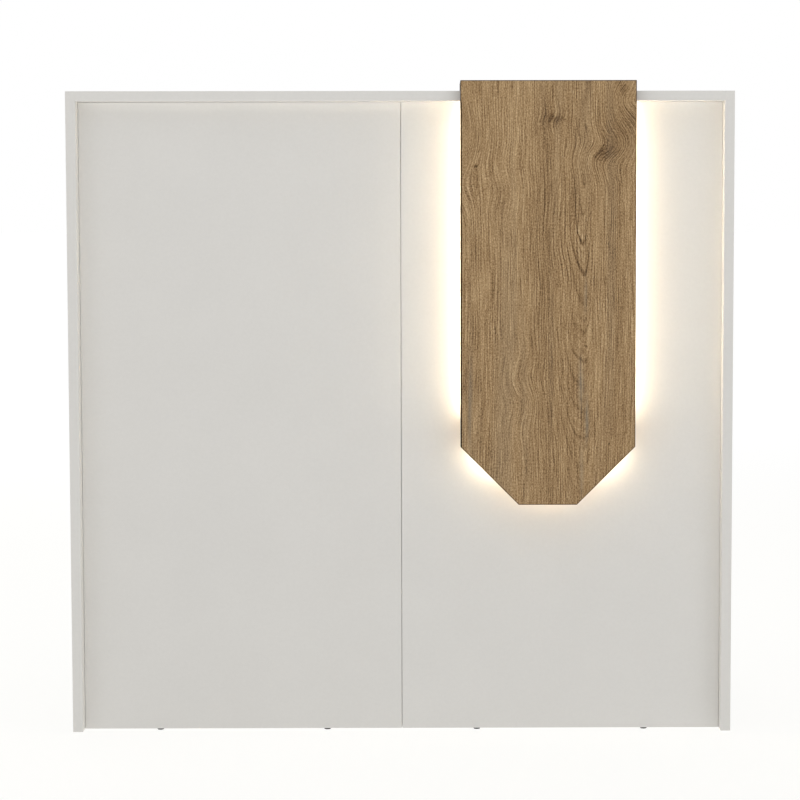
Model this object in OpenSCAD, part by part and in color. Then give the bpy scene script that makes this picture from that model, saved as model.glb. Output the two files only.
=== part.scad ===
// Checkout counter: white laminated carcass with a raised ledge, a desk behind it, a drawer and cupboard
// pedestal, a keyboard tray, and an oak facing that stands off the front and is lit round its edges.
// X runs along the counter, -Y faces the customer, +Z is up. The origin is on the floor, at the middle
// of the whole counter's box.

/* [Carcass] */
// Width over the two side panels
counter_w = 1200; // [1160:10:1300]
// Height of the white carcass above the floor, glides included
carcass_h = 1165; // [1140:5:1200]
// Depth of the side panels at the floor
side_d = 600; // [580:10:680]
// Thickness of the laminated boards
board_t = 18; // [18:1:19]
// Depth of the raised ledge
ledge_d = 300; // [280:5:330]
// Height of the desk top above the floor
desk_h = 750; // [740:5:770]
// Setback of the white front panels behind the front edges of the sides
front_setback = 30; // [28:1:40]
// Width of the open joint between the two front panels
panel_seam = 0.8; // [0.6:0.2:2]
// Gap between the front panels and the sides and ledge round them
panel_fit = 0.5; // [0.3:0.1:1]

/* [Oak facing] */
// Width of the oak facing
oak_w = 315; // [300:5:330]
// Distance of the facing's centre from the middle of the counter
oak_x = 265; // [255:5:275]
// Leg of the 45 degree cuts at the facing's lower corners
oak_corner = 105; // [95:1:115]
// Height of the facing's bottom edge above the floor
oak_bottom = 421; // [400:1:440]
// Depth of the oak slab on the ledge, from the facing's front face
slab_d = 125; // [100:5:150]
// Distance of the spacer battens inside the facing's outline
batten_inset = 24; // [20:1:30]
// Height of the lowest batten above the facing's bottom edge
foot_inset = 60; // [55:1:65]

/* [Pedestal] */
// Height of the pedestal floor board's underside
plinth_h = 60; // [50:5:70]
// Height of the space that the two drawers share
drawer_zone = 280; // [270:5:290]
// Gap round the drawer fronts and the door
front_gap = 3; // [3:0.5:4]
// Length of the drawer boxes
drawer_l = 480; // [460:5:490]
// Thickness of the drawer boxes' boards
drawer_t = 12; // [12:1:15]
// Gap between the door's hinge edge and the partition
hinge_gap = 4.5; // [4.5:0.5:6]

/* [Fittings] */
// Height of the nail-in glides
glide_h = 3; // [3:0.5:4]
// Diameter of the nail-in glides
glide_d = 12; // [10:1:14]
// Reach of the bow handles out of the drawer fronts
handle_reach = 28; // [26:1:32]
// Distance between the handles' feet
handle_pitch = 128; // [96:32:128]
// Thickness of the runners beside the drawers and the tray
runner_t = 12.7; // [12.7:0.1:13.5]
// Length of the drawer runners
runner_l = 450; // [400:50:450]
// Depth of the keyboard tray
tray_d = 300; // [280:10:320]
// Diameter of the cable grommet's tube
grommet_d = 60; // [60:5:80]

/* [Hidden] */

$fn = 48;
// Overlap that keeps a cut clear of the face it starts from
eps = 1;

// Places along X, Y and Z that several pieces share
half_w = counter_w / 2;
inner_x = half_w - board_t;
half_t = board_t / 2;
front_reveal = 2;
total_d = board_t + side_d + handle_reach - front_reveal;
oak_y = -total_d / 2;
side_y = oak_y + board_t;
back_y = side_y + side_d;
panel_y = side_y + front_setback;
hutch_y = panel_y + board_t;
ledge_y = side_y + ledge_d;
ledge_z = carcass_h - board_t;
desk_z = desk_h - board_t;
floor_z = plinth_h + board_t;
deck_z = desk_z - drawer_zone;
face_y = back_y - front_reveal;
face_in_y = face_y - board_t;

WHITE = "#e9e7e2";
OAK = "#96805f";
PINE = "#cdb48a";
STEEL = "#b9bcc0";
ALU = "#c9ccd0";
DARK = "#4a4a48";
GLOW = "#fff3d6";

module board(low, high) {
    translate(low) cube(high - low);
}

// A cylinder along X, Y or Z that starts at a point
module rod_x(at, r, l) {
    translate(at) rotate([0, 90, 0]) cylinder(r = r, h = l);
}
module rod_y(at, r, l) {
    translate(at) rotate([-90, 0, 0]) cylinder(r = r, h = l);
}
module rod_z(at, r, l) {
    translate(at) cylinder(r = r, h = l);
}

// ---- Assembly screws that run along X through the side panels ----
screw_r = 2.5;
screw_l = 50;
screw_head_r = 4.5;
screw_head_l = 3;
cap_r = 5;
cap_l = 1.5;
bore_slack = 0.15;
// Distance of the end screws from a board's front and back edges
screw_edge = 80;
front_screw_z = [160, 480, 860, 1080];
// Places [y, z] of the screws that both sides have, then those into the pedestal's boards
shared_screws = concat(
    [[side_y + screw_edge, ledge_z + half_t], [ledge_y - screw_edge, ledge_z + half_t]],
    [[hutch_y + screw_edge, desk_z + half_t], [back_y - screw_edge, desk_z + half_t]],
    [for (z = front_screw_z) [panel_y + half_t, z]]);
pedestal_screws = [for (y = [hutch_y + screw_edge, back_y - screw_edge], z = [plinth_h, deck_z - board_t])
    [y, z + half_t]];

// side is -1 for the left panel and 1 for the right one
function screw_spots(side) = side < 0 ? shared_screws : concat(shared_screws, pedestal_screws);

module screw(side, spot, slack) {
    tip_x = half_w - screw_l - slack;
    head_x = half_w - cap_l - screw_head_l;
    mirror([side < 0 ? 1 : 0, 0, 0]) {
        rod_x([tip_x, spot[0], spot[1]], screw_r + slack, head_x - tip_x + eps);
        rod_x([head_x - slack, spot[0], spot[1]], screw_head_r + slack, screw_head_l + slack);
    }
}

module screw_bores(side) {
    cap_x = half_w - cap_l - bore_slack;
    for (spot = screw_spots(side)) {
        screw(side, spot, bore_slack);
        mirror([side < 0 ? 1 : 0, 0, 0])
            rod_x([cap_x, spot[0], spot[1]], cap_r + bore_slack, cap_l + bore_slack + eps);
    }
}

// ---- Shelf pins and the rows of holes they sit in ----
pin_r = 2.5;
pin_deep = 8;
pin_out = 8;
pin_slack = 0.1;
pin_pitch = 32;
// Distance of the holes from a shelf's front and back edges
pin_edge = 37;
hutch_shelf_up = 190;
hutch_shelf_z = desk_h + hutch_shelf_up;
cupboard_shelf_up = 170;
cupboard_shelf_z = floor_z + cupboard_shelf_up;
shelf_slack = 1;
// Setbacks of the shelves behind the ledge's back edge and behind the door
hutch_shelf_in = 8;
cupboard_shelf_in = 40;
hutch_pin_y = [hutch_y + pin_edge, ledge_y - hutch_shelf_in - pin_edge];
cupboard_pin_y = [hutch_y + pin_edge, face_in_y - cupboard_shelf_in - pin_edge];
// Each row: [x of the wall's face, direction of the shelf from it, y, z of the pin's axis]
hutch_rows = [for (y = hutch_pin_y, wall = [[-inner_x, 1], [-half_t, -1], [half_t, 1], [inner_x, -1]])
    [wall[0], wall[1], y, hutch_shelf_z - pin_r]];
cupboard_rows = [for (y = cupboard_pin_y, wall = [[half_t, 1], [inner_x, -1]])
    [wall[0], wall[1], y, cupboard_shelf_z - pin_r]];

module pin_at(row, out, r) {
    translate([row[0] - row[1] * pin_deep, row[2], row[3]])
        rotate([0, row[1] * 90, 0]) cylinder(r = r, h = pin_deep + out);
}

module pin_holes(rows) {
    for (row = rows, step = [-1, 0, 1])
        pin_at([row[0], row[1], row[2], row[3] + step * pin_pitch], eps, pin_r + pin_slack);
}

// ---- White carcass ----
module side_outline() {
    polygon([[side_y, glide_h], [back_y, glide_h], [back_y, desk_h], [ledge_y, desk_h],
        [ledge_y, carcass_h], [side_y, carcass_h]]);
}

module side_panel(side) {
    color(WHITE) difference() {
        translate([side < 0 ? -half_w : inner_x, 0, 0])
            rotate([90, 0, 90]) linear_extrude(board_t) side_outline();
        screw_bores(side);
        pin_holes([for (row = hutch_rows) if (row[0] == side * inner_x) row]);
        if (side > 0) pin_holes([for (row = cupboard_rows) if (row[0] == inner_x) row]);
    }
}
module side_panel_left() { side_panel(-1); }
module side_panel_right() { side_panel(1); }

module ledge_top() {
    color(WHITE) difference() {
        board([-inner_x, side_y, ledge_z], [inner_x, ledge_y, carcass_h]);
        screw_bores(-1);
        screw_bores(1);
    }
}

lead_hole_r = 6;
lead_hole_drop = 40;
lead_hole_z = ledge_z - lead_hole_drop;
module front_panel(side) {
    low_x = side < 0 ? -inner_x + panel_fit : panel_seam / 2;
    high_x = side < 0 ? -panel_seam / 2 : inner_x - panel_fit;
    color(WHITE) difference() {
        board([low_x, panel_y, glide_h], [high_x, hutch_y, ledge_z - panel_fit]);
        screw_bores(side);
        if (side > 0) rod_y([oak_x, panel_y - eps, lead_hole_z], lead_hole_r, board_t + 2 * eps);
    }
}
module front_panel_left() { front_panel(-1); }
module front_panel_right() { front_panel(1); }

grommet_x = -300;
grommet_in = 90;
grommet_y = hutch_y + grommet_in;
grommet_r = grommet_d / 2;
grommet_wall = 3;
grommet_slack = 0.3;
module worktop() {
    color(WHITE) difference() {
        board([-inner_x, hutch_y, desk_z], [inner_x, back_y, desk_h]);
        screw_bores(-1);
        screw_bores(1);
        rod_z([grommet_x, grommet_y, desk_z - eps], grommet_r + grommet_slack, board_t + 2 * eps);
    }
}

module centre_partition() {
    color(WHITE) difference() {
        board([-half_t, hutch_y, glide_h], [half_t, back_y, desk_z]);
        pin_holes([for (row = cupboard_rows) if (row[0] == half_t) row]);
    }
}

module hutch_divider() {
    color(WHITE) difference() {
        board([-half_t, hutch_y, desk_h], [half_t, ledge_y, ledge_z]);
        pin_holes([for (row = hutch_rows) if (abs(row[0]) == half_t) row]);
    }
}

module hutch_shelf(side) {
    low_x = side < 0 ? -inner_x + shelf_slack : half_t + shelf_slack;
    color(WHITE) board([low_x, hutch_y + shelf_slack, hutch_shelf_z],
        [low_x + inner_x - half_t - 2 * shelf_slack, ledge_y - hutch_shelf_in, hutch_shelf_z + board_t]);
}
module hutch_shelf_left() { hutch_shelf(-1); }
module hutch_shelf_right() { hutch_shelf(1); }

module shelf_pins() {
    color(STEEL) for (row = concat(hutch_rows, cupboard_rows)) pin_at(row, pin_out, pin_r);
}

module pedestal_board(low_z) {
    color(WHITE) difference() {
        board([half_t, hutch_y, low_z], [inner_x, back_y, low_z + board_t]);
        screw_bores(1);
        children();
    }
}

// ---- Cupboard door on two pivot pins ----
pivot_x = half_t + hinge_gap + half_t;
pivot_y = face_y - half_t;
pivot_r = 4;
pivot_in_door = 15;
pivot_in_bush = 9;
bush_r = 6.5;
bush_l = 10;
run_slack = 0.06;
door_low = floor_z + front_gap;
door_high = deck_z - board_t - front_gap;
module pedestal_floor() {
    pedestal_board(plinth_h) rod_z([pivot_x, pivot_y, floor_z - bush_l], bush_r, bush_l + eps);
}
module pedestal_deck() {
    low_z = deck_z - board_t;
    pedestal_board(low_z) rod_z([pivot_x, pivot_y, low_z - eps], bush_r, bush_l + eps);
}

plinth_back = 40;
module plinth_rail() {
    rail_y = back_y - plinth_back;
    color(WHITE) board([half_t, rail_y - board_t, glide_h], [inner_x, rail_y, plinth_h]);
}

module cupboard_shelf() {
    color(WHITE) board([half_t + shelf_slack, hutch_y + shelf_slack, cupboard_shelf_z],
        [inner_x - shelf_slack, face_in_y - cupboard_shelf_in, cupboard_shelf_z + board_t]);
}

module cupboard_door() {
    color(WHITE) difference() {
        board([half_t + hinge_gap, face_in_y, door_low], [inner_x - front_gap, face_y, door_high]);
        rod_z([pivot_x, pivot_y, door_low - eps], pivot_r, pivot_in_door + eps);
        rod_z([pivot_x, pivot_y, door_high - pivot_in_door], pivot_r, pivot_in_door + eps);
    }
}

module door_pivot_pins() {
    pin_l = pivot_in_door + front_gap + pivot_in_bush;
    color(STEEL) {
        rod_z([pivot_x, pivot_y, floor_z - pivot_in_bush], pivot_r, pin_l);
        rod_z([pivot_x, pivot_y, door_high - pivot_in_door], pivot_r, pin_l);
    }
}

module pivot_bushes() {
    color(DARK) for (z = [floor_z - bush_l, deck_z - board_t]) difference() {
        rod_z([pivot_x, pivot_y, z], bush_r, bush_l);
        mouth = z < floor_z ? z + bush_l - pivot_in_bush - run_slack : z - eps;
        rod_z([pivot_x, pivot_y, mouth], pivot_r + run_slack, pivot_in_bush + run_slack + eps);
    }
}

catch_w = 46;
catch_h = 14;
catch_l = 16;
catch_gap = 0.4;
plate_t = 1.2;
plate_w = 13;
plate_edge = 3;
catch_drop = 70;
catch_z = door_high - catch_drop;
module door_magnet() {
    color(DARK) board([inner_x - catch_h, face_in_y - plate_t - catch_gap - catch_l, catch_z],
        [inner_x, face_in_y - plate_t - catch_gap, catch_z + catch_w]);
}
module door_strike_plate() {
    high_x = inner_x - front_gap - plate_edge;
    color(STEEL) board([high_x - plate_w, face_in_y - plate_t, catch_z + plate_edge],
        [high_x, face_in_y, catch_z + catch_w - plate_edge]);
}

// ---- Bow handles: a round bar that turns through two bends into its feet ----
handle_r = 5;
handle_bend = 12;
foot_r = 7;
foot_t = 2;
// A handle along X, with its feet on the plane y = 0
module bow_handle() {
    straight = handle_pitch - 2 * handle_bend;
    bar_y = handle_reach - handle_r;
    color(STEEL) {
        rod_x([-straight / 2, bar_y, 0], handle_r, straight);
        for (side = [-1, 1]) mirror([side < 0 ? 1 : 0, 0, 0]) {
            translate([straight / 2, bar_y - handle_bend, 0])
                rotate_extrude(angle = 90) translate([handle_bend, 0]) circle(r = handle_r);
            rod_y([handle_pitch / 2, 0, 0], handle_r, bar_y - handle_bend);
            rod_y([handle_pitch / 2, 0, 0], foot_r, foot_t);
        }
    }
}
door_handle_in = 50;
door_handle_drop = 110;
module door_handle() {
    translate([inner_x - door_handle_in, face_y, door_high - door_handle_drop])
        rotate([0, 90, 0]) bow_handle();
}

// ---- Drawers ----
drawer_x = (half_t + inner_x) / 2;
bay_w = inner_x - half_t;
box_w = bay_w - 2 * runner_t;
front_h = (drawer_zone - 3 * front_gap) / 2;
lower_front_z = deck_z + front_gap;
upper_front_z = lower_front_z + front_h + front_gap;
box_h = 100;
box_lift = 14;
bottom_t = 5;
bottom_lift = 12;
groove = 6;
lock_r = 9;
lock_drop = 28;
lock_z = upper_front_z + front_h - lock_drop;
// Drop of the handles below the middle of the drawer fronts
handle_drop = 22;

module drawer_front(front_z) {
    board([half_t + front_gap, face_in_y, front_z], [inner_x - front_gap, face_y, front_z + front_h]);
}
module upper_drawer_front() {
    color(WHITE) difference() {
        drawer_front(upper_front_z);
        rod_y([drawer_x, face_in_y - eps, lock_z], lock_r + bore_slack, board_t + 2 * eps);
    }
}
module lower_drawer_front() {
    color(WHITE) drawer_front(lower_front_z);
}

// Two sides and a back, with the groove that the bottom slides into
module drawer_box(front_z) {
    low_z = front_z + box_lift;
    left = drawer_x - box_w / 2;
    right = drawer_x + box_w / 2;
    color(WHITE) difference() {
        union() {
            board([left, face_in_y - drawer_l, low_z], [left + drawer_t, face_in_y, low_z + box_h]);
            board([right - drawer_t, face_in_y - drawer_l, low_z], [right, face_in_y, low_z + box_h]);
            board([left + drawer_t, face_in_y - drawer_l, low_z],
                [right - drawer_t, face_in_y - drawer_l + drawer_t, low_z + box_h]);
        }
        drawer_base(front_z, bore_slack);
    }
}
// The bottom, or with slack the groove for it, which is open towards the front
module drawer_base(front_z, slack) {
    half_base = box_w / 2 - groove + slack;
    low_z = front_z + box_lift + bottom_lift;
    high_y = slack > 0 ? face_in_y + eps : face_in_y;
    board([drawer_x - half_base, face_in_y - drawer_l + groove - slack, low_z - slack],
        [drawer_x + half_base, high_y, low_z + bottom_t + slack]);
}
module upper_drawer_box() { drawer_box(upper_front_z); }
module lower_drawer_box() { drawer_box(lower_front_z); }
module upper_drawer_bottom() { color(PINE) drawer_base(upper_front_z, 0); }
module lower_drawer_bottom() { color(PINE) drawer_base(lower_front_z, 0); }
module upper_drawer_handle() {
    translate([drawer_x, face_y, upper_front_z + front_h / 2 - handle_drop]) bow_handle();
}
module lower_drawer_handle() {
    translate([drawer_x, face_y, lower_front_z + front_h / 2 - handle_drop]) bow_handle();
}

// ---- Cam lock in the upper drawer's front ----
lock_flange_r = 11;
lock_flange_t = 1.5;
lock_body_l = 25;
plug_r = 6;
cam_l = 27;
cam_w = 12;
cam_t = 2;
cam_gap = 1;
plug_high = face_y + lock_flange_t;
module lock_cylinder() {
    low_y = face_y - lock_body_l;
    color(STEEL) difference() {
        union() {
            rod_y([drawer_x, low_y, lock_z], lock_r, lock_body_l);
            rod_y([drawer_x, face_y, lock_z], lock_flange_r, lock_flange_t);
        }
        rod_y([drawer_x, low_y - eps, lock_z], plug_r + run_slack, plug_high - low_y + 2 * eps);
    }
}
key_t = 2;
key_w = 7;
key_in = 18;
// The key's blade up to a place along Y, or with slack the slot that it slides into
module key_blade(slack, high_y) {
    half_blade = [key_t / 2 + slack, 0, key_w / 2 + slack];
    board([drawer_x, plug_high - key_in - slack, lock_z] - half_blade,
        [drawer_x, high_y, lock_z] + half_blade);
}
module lock_cam() {
    low_y = face_y - lock_body_l - cam_gap - cam_t;
    color(STEEL) difference() {
        union() {
            rod_y([drawer_x, low_y, lock_z], plug_r, plug_high - low_y);
            board([drawer_x - cam_w / 2, low_y, lock_z - cam_w / 2],
                [drawer_x + cam_l, low_y + cam_t, lock_z + cam_w / 2]);
        }
        key_blade(bore_slack, plug_high + eps);
    }
}
key_bow_r = 9;
key_hole_r = 3;
key_out = 5;
module lock_key() {
    bow_y = plug_high + key_out + key_bow_r;
    color(STEEL) {
        key_blade(0, plug_high + key_out);
        difference() {
            rod_x([drawer_x - key_t / 2, bow_y - eps, lock_z], key_bow_r, key_t);
            rod_x([drawer_x - key_t / 2 - eps, bow_y + key_hole_r, lock_z], key_hole_r, key_t + 2 * eps);
        }
    }
}
strike_t = 2;
strike_drop = 15;
strike_reach = 21;
strike_w = 50;
module lock_strike() {
    low_x = drawer_x - strike_w / 2;
    high_x = drawer_x + strike_w / 2;
    low_y = face_y - lock_body_l + cam_gap;
    color(STEEL) {
        board([low_x, low_y, desk_z - strike_drop], [high_x, low_y + strike_t, desk_z]);
        board([low_x, low_y - strike_reach, desk_z - strike_t], [high_x, low_y, desk_z]);
    }
}

// ---- Ball runners: nested C sections, the open side towards the drawer ----
sheet_t = 1.2;
// A C section between two distances from the wall, with its web on the wall's or the drawer's side
module c_section(span, half_h, web_on_wall) {
    web_u = web_on_wall ? span[0] : span[1] - sheet_t;
    translate([web_u, -half_h]) square([sheet_t, 2 * half_h]);
    for (v = [-half_h, half_h - sheet_t]) translate([span[0], v]) square([span[1] - span[0], sheet_t]);
}
// Both runners of a pair, on walls at left_x and right_x, from low_y over a length, centred on z
module runner_pair(left_x, right_x, low_y, length, z) {
    color(STEEL) {
        translate([left_x, low_y + length, z]) rotate([90, 0, 0]) linear_extrude(length) children();
        translate([right_x, low_y + length, z]) mirror([1, 0, 0])
            rotate([90, 0, 0]) linear_extrude(length) children();
    }
}
race = 2.8;
// Half heights of the three sections, and where they lie between the wall and the drawer
outer_h = 17.5;
middle_h = outer_h - sheet_t - race;
inner_h = middle_h - sheet_t - race;
outer_u = [0, 9];
middle_u = [4, 11];
inner_u = [6.5, runner_t];
runner_in = 2;
runner_low_y = face_in_y - runner_l - runner_in;
function runner_z(front_z) = front_z + box_lift + box_h / 2;
module drawer_runners(front_z) {
    runner_pair(half_t, inner_x, runner_low_y, runner_l, runner_z(front_z)) children();
}
module runner_outer(front_z) {
    drawer_runners(front_z) c_section(outer_u, outer_h, true);
}
module runner_middle(front_z) {
    drawer_runners(front_z) c_section(middle_u, middle_h, true);
}
module runner_inner(front_z) {
    drawer_runners(front_z) c_section(inner_u, inner_h, false);
}
module upper_runner_outer() { runner_outer(upper_front_z); }
module upper_runner_middle() { runner_middle(upper_front_z); }
module upper_runner_inner() { runner_inner(upper_front_z); }
module lower_runner_outer() { runner_outer(lower_front_z); }
module lower_runner_middle() { runner_middle(lower_front_z); }
module lower_runner_inner() { runner_inner(lower_front_z); }

// ---- Keyboard tray in the knee space ----
tray_drop = 90;
tray_z = desk_z - tray_drop;
tray_back = 30;
tray_low_y = back_y - tray_back - tray_d;
lip_h = 20;
lip_t = 3;
module keyboard_tray() {
    left = -inner_x + runner_t;
    right = -half_t - runner_t;
    top_z = tray_z + board_t;
    color(WHITE) {
        board([left, tray_low_y, tray_z], [right, tray_low_y + tray_d, top_z]);
        board([left, tray_low_y, top_z], [right, tray_low_y + lip_t, top_z + lip_h]);
    }
}
module tray_runners() {
    runner_pair(-inner_x, -half_t, tray_low_y, tray_d, tray_z + half_t) children();
}
module tray_runner_outer() { tray_runners() c_section(outer_u, middle_h, true); }
module tray_runner_inner() { tray_runners() c_section(inner_u, inner_h, false); }

// ---- Cable grommet in the desk ----
flange_out = 5;
flange_t = 2;
cap_t = 3;
seat_w = 2;
// Height of the tube's foot above the desk's underside
tube_up = 1;
cap_z = desk_h + flange_t - cap_t;
module grommet_ring() {
    color(DARK) difference() {
        union() {
            rod_z([grommet_x, grommet_y, desk_z + tube_up], grommet_r, board_t - tube_up);
            rod_z([grommet_x, grommet_y, desk_h], grommet_r + flange_out, flange_t);
        }
        rod_z([grommet_x, grommet_y, desk_z], grommet_r - grommet_wall - seat_w, board_t + 2 * flange_t);
        rod_z([grommet_x, grommet_y, cap_z], grommet_r - grommet_wall, cap_t + eps);
    }
}
module grommet_cap() {
    slot_w = 24;
    color(DARK) difference() {
        rod_z([grommet_x, grommet_y, cap_z], grommet_r - grommet_wall - grommet_slack, cap_t);
        board([grommet_x - slot_w / 2, grommet_y + grommet_r / 2, desk_h - eps],
            [grommet_x + slot_w / 2, grommet_y + grommet_r + eps, desk_h + flange_t + eps]);
    }
}

// ---- Oak facing, its spacer battens and its lighting ----
oak_left = oak_x - oak_w / 2;
oak_right = oak_x + oak_w / 2;
oak_top = carcass_h + board_t;
oak_knee = oak_bottom + oak_corner;

// Height at which the facing's outline, moved in by a distance, bends into its cut corners
function knee_z(inset) = oak_knee + inset * tan(22.5);
// Distance from the facing's side at which a cut corner, moved in, meets a foot at a height above the bottom
function foot_dx(inset, foot) = oak_corner + inset * sqrt(2) - foot;

// The facing's outline in X and Z, moved in by one distance at its sides and by another at its foot
module facing_outline(inset, foot, top_z) {
    dx = foot_dx(inset, foot);
    polygon([[oak_left + inset, top_z], [oak_left + inset, knee_z(inset)],
        [oak_left + dx, oak_bottom + foot], [oak_right - dx, oak_bottom + foot],
        [oak_right - inset, knee_z(inset)], [oak_right - inset, top_z]]);
}
module on_front(low_y, depth) {
    translate([0, low_y + depth, 0]) rotate([90, 0, 0]) linear_extrude(depth) children();
}
// The facing and the slab meet in a mitre along the top front edge
module oak_front_panel() {
    color(OAK) difference() {
        on_front(oak_y, board_t) facing_outline(0, 0, oak_top);
        translate([oak_left - eps, 0, 0]) rotate([90, 0, 90]) linear_extrude(oak_w + 2 * eps)
            polygon([[oak_y, oak_top], [side_y + eps, oak_top + eps], [side_y + eps, carcass_h - eps]]);
    }
}
module oak_top_slab() {
    slab_y = oak_y + slab_d;
    color(OAK) translate([oak_left, 0, 0]) rotate([90, 0, 90]) linear_extrude(oak_w)
        polygon([[oak_y, oak_top], [side_y, carcass_h], [slab_y, carcass_h], [slab_y, oak_top]]);
}

batten_w = 30;
batten_gap = 1;
batten_low = knee_z(batten_inset);
module batten_upright(low_x) {
    color(PINE) board([low_x, side_y, batten_low + batten_gap], [low_x + batten_w, panel_y, ledge_z]);
}
module batten_left() { batten_upright(oak_left + batten_inset); }
module batten_right() { batten_upright(oak_right - batten_inset - batten_w); }
// One batten along each cut corner and one along the foot, with a gap at the two bends between them
module battens_lower() {
    dx = foot_dx(batten_inset, foot_inset);
    color(PINE) on_front(side_y, front_setback) difference() {
        facing_outline(batten_inset, foot_inset, batten_low);
        facing_outline(batten_inset + batten_w, foot_inset + batten_w, batten_low + eps);
        for (side = [-1, 1])
            translate([oak_x + side * (oak_w / 2 - dx), oak_bottom + foot_inset])
                rotate(side * 22.5) translate([-batten_gap / 2, -eps]) square([batten_gap, oak_corner]);
    }
}

// Lighting profiles: a channel with a tape and a cover on the outer edges of the battens
profile_w = 16;
profile_h = 7;
profile_t = 1;
diffuser_t = 2;
tape_t = 1;
tape_w = 10;
profile_y = (side_y + panel_y) / 2;
// Distances of the profiles' ends from the ledge and from the bends
end_gap = 12;
bend_gap = 50;
upright_l = ledge_z - batten_low - end_gap - bend_gap;
diagonal_l = 64;
foot_l = 110;
// The profile's outline is drawn with X away from the batten and Y across its edge
module along_edges() {
    for (side = [-1, 1]) translate([oak_x, profile_y, 0]) mirror([side < 0 ? 1 : 0, 0, 0]) {
        edge_x = oak_w / 2 - batten_inset;
        translate([edge_x, 0, batten_low + bend_gap]) linear_extrude(upright_l) children();
        translate([edge_x, 0, batten_low]) rotate([0, -135, 0]) translate([0, 0, end_gap])
            linear_extrude(diagonal_l) rotate(180) children();
    }
    translate([oak_x - foot_l / 2, profile_y, oak_bottom + foot_inset]) rotate([0, 90, 0])
        linear_extrude(foot_l) children();
}
module led_channels() {
    color(ALU) along_edges() difference() {
        translate([0, -profile_w / 2]) square([profile_h, profile_w]);
        translate([profile_t, -profile_w / 2 + profile_t]) square([profile_h, profile_w - 2 * profile_t]);
    }
}
module led_tapes() {
    color("white") along_edges() translate([profile_t, -tape_w / 2]) square([tape_t, tape_w]);
}
module led_diffusers() {
    color(GLOW) along_edges() translate([profile_h - diffuser_t, -profile_w / 2 + profile_t])
        square([diffuser_t, profile_w - 2 * profile_t]);
}

// ---- Lighting controller under the ledge, with its button and its inlet ----
controller_w = 70;
controller_d = 44;
controller_h = 22;
controller_x = 470;
controller_in = 14;
controller_back = ledge_y - controller_in;
controller_y = controller_back - controller_d;
controller_z = ledge_z - controller_h;
button_r = 5;
button_l = 6;
button_out = 2.5;
button_travel = 1.5;
button_slack = 0.2;
button_x = controller_x + 18;
inlet_x = controller_x + 52;
inlet_r = 2.8;
inlet_deep = 9;
inlet_pin_r = 1;
inlet_pin_in = 1;
control_z = controller_z + controller_h / 2;
module led_controller() {
    button_deep = button_l + button_travel;
    color(DARK) {
        difference() {
            board([controller_x, controller_y, controller_z],
                [controller_x + controller_w, controller_back, ledge_z]);
            rod_y([button_x, controller_back - button_deep, control_z], button_r + button_slack,
                button_deep + eps);
            rod_y([inlet_x, controller_back - inlet_deep, control_z], inlet_r, inlet_deep + eps);
        }
        rod_y([inlet_x, controller_back - inlet_deep, control_z], inlet_pin_r, inlet_deep - inlet_pin_in);
    }
}
module led_button() {
    color(WHITE) rod_y([button_x, controller_back + button_out - button_l, control_z], button_r, button_l);
}

// A round lead swept along a route as a tube with flat sides
lead_r = 2;
branch_r = 1.6;
lead_sides = 8;
lead_in_y = hutch_y + 8;
lead_z = ledge_z - 11;
gap_y = profile_y;
// Distance of the branches' ends from the middle of the facing
branch_dx = oak_w / 2 - batten_inset - batten_w - 8;
main_route = [[controller_x + 35, controller_y, lead_z], [controller_x + 35, controller_y - 30, lead_z],
    [controller_x + 30, lead_in_y + 12, lead_z], [controller_x + 18, lead_in_y, lead_z],
    [oak_x + 40, lead_in_y, lead_z], [oak_x + 12, lead_in_y, lead_z - 6],
    [oak_x, lead_in_y, lead_hole_z + 10], [oak_x, lead_in_y - 6, lead_hole_z],
    [oak_x, gap_y, lead_hole_z]];
function branch_route(side) = [[oak_x + side, gap_y, lead_hole_z],
    [oak_x + side * 20, gap_y, lead_hole_z + 2], [oak_x + side * branch_dx, gap_y, lead_hole_z + 6]];
function unit(v) = v / norm(v);
function tangent(p, i) = unit(p[min(i + 1, len(p) - 1)] - p[max(i - 1, 0)]);
// A vector square to the route: level where the route isn't upright, and otherwise square to X too
function side_of(t) = abs(t[2]) > 0.9 ? unit(cross([1, 0, 0], t)) : unit(cross([0, 0, 1], t));
function ring(p, t, r) = [for (k = [0:lead_sides - 1]) let (a = 360 * k / lead_sides, s = side_of(t))
    p + r * (cos(a) * s + sin(a) * cross(t, s))];
module lead_tube(p, r) {
    n = len(p);
    points = [for (i = [0:n - 1]) each ring(p[i], tangent(p, i), r)];
    walls = [for (i = [0:n - 2], k = [0:lead_sides - 1]) let (a = i * lead_sides, m = (k + 1) % lead_sides)
        [a + k, a + m, a + lead_sides + m, a + lead_sides + k]];
    ends = [[for (k = [lead_sides - 1:-1:0]) k], [for (k = [0:lead_sides - 1]) (n - 1) * lead_sides + k]];
    polyhedron(points, concat(walls, ends));
}
module led_lead() {
    color("white") {
        lead_tube(main_route, lead_r);
        lead_tube(branch_route(-1), branch_r);
        lead_tube(branch_route(1), branch_r);
    }
}

clip_w = 8;
clip_t = 1.6;
clip_slack = 0.2;
clip_x = [oak_x + 70, controller_x - 10];
module lead_clips() {
    inside = lead_r + clip_slack;
    outside = lead_r + clip_t;
    color(WHITE) for (x = clip_x) difference() {
        board([x, hutch_y, lead_z - outside], [x + clip_w, lead_in_y + outside, lead_z + outside]);
        board([x - eps, hutch_y - eps, lead_z - inside],
            [x + clip_w + eps, lead_in_y + inside, lead_z + inside]);
    }
}

// ---- Glides, screws and their caps ----
nail_r = 1;
nail_l = 12;
panel_mid = (panel_seam / 2 + inner_x) / 2;
glide_dx = 153.5;
glide_in = 60;
upright_x = [-half_w + half_t, 0, half_w - half_t];
upright_y = [panel_y + glide_in, back_y - glide_in];
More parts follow.
